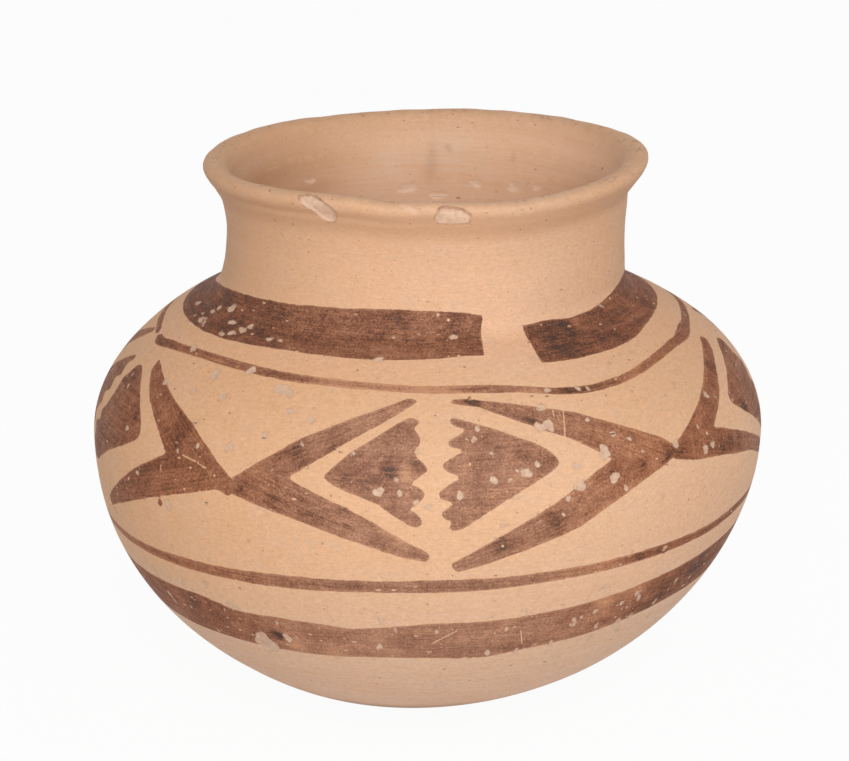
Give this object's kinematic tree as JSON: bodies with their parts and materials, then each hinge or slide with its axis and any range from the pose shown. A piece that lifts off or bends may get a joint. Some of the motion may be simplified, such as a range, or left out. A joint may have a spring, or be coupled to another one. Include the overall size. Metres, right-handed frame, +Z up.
{
  "type": "coil-built pottery jar",
  "caption": "Round-bodied painted earthenware jar with a low neck and a rolled, flared rim, built up from lapped clay coils on a pressed base; an open vessel that stands on a flat base.",
  "frame": {"origin": "centre of the resting face, on the floor", "axes": "+Z up along the jar's axis of turning, -Y towards the side that the picture shows"},
  "size_m": [0.2, 0.2, 0.1625],
  "materials": {
    "fired_clay": "matt, hand-polished slip with dark brown mineral paint"
  },
  "bodies": {
    "root": {"base_bowl": "fired_clay", "body_coil_1": "fired_clay", "body_coil_2": "fired_clay", "body_coil_3": "fired_clay", "body_coil_4": "fired_clay", "body_coil_5": "fired_clay", "shoulder_coil_1": "fired_clay", "shoulder_coil_2": "fired_clay", "shoulder_coil_3": "fired_clay", "shoulder_coil_4": "fired_clay", "shoulder_coil_5": "fired_clay", "neck_coil_1": "fired_clay", "neck_coil_2": "fired_clay", "neck_coil_3": "fired_clay", "rim_coil": "fired_clay"}
  },
  "joints": []
}
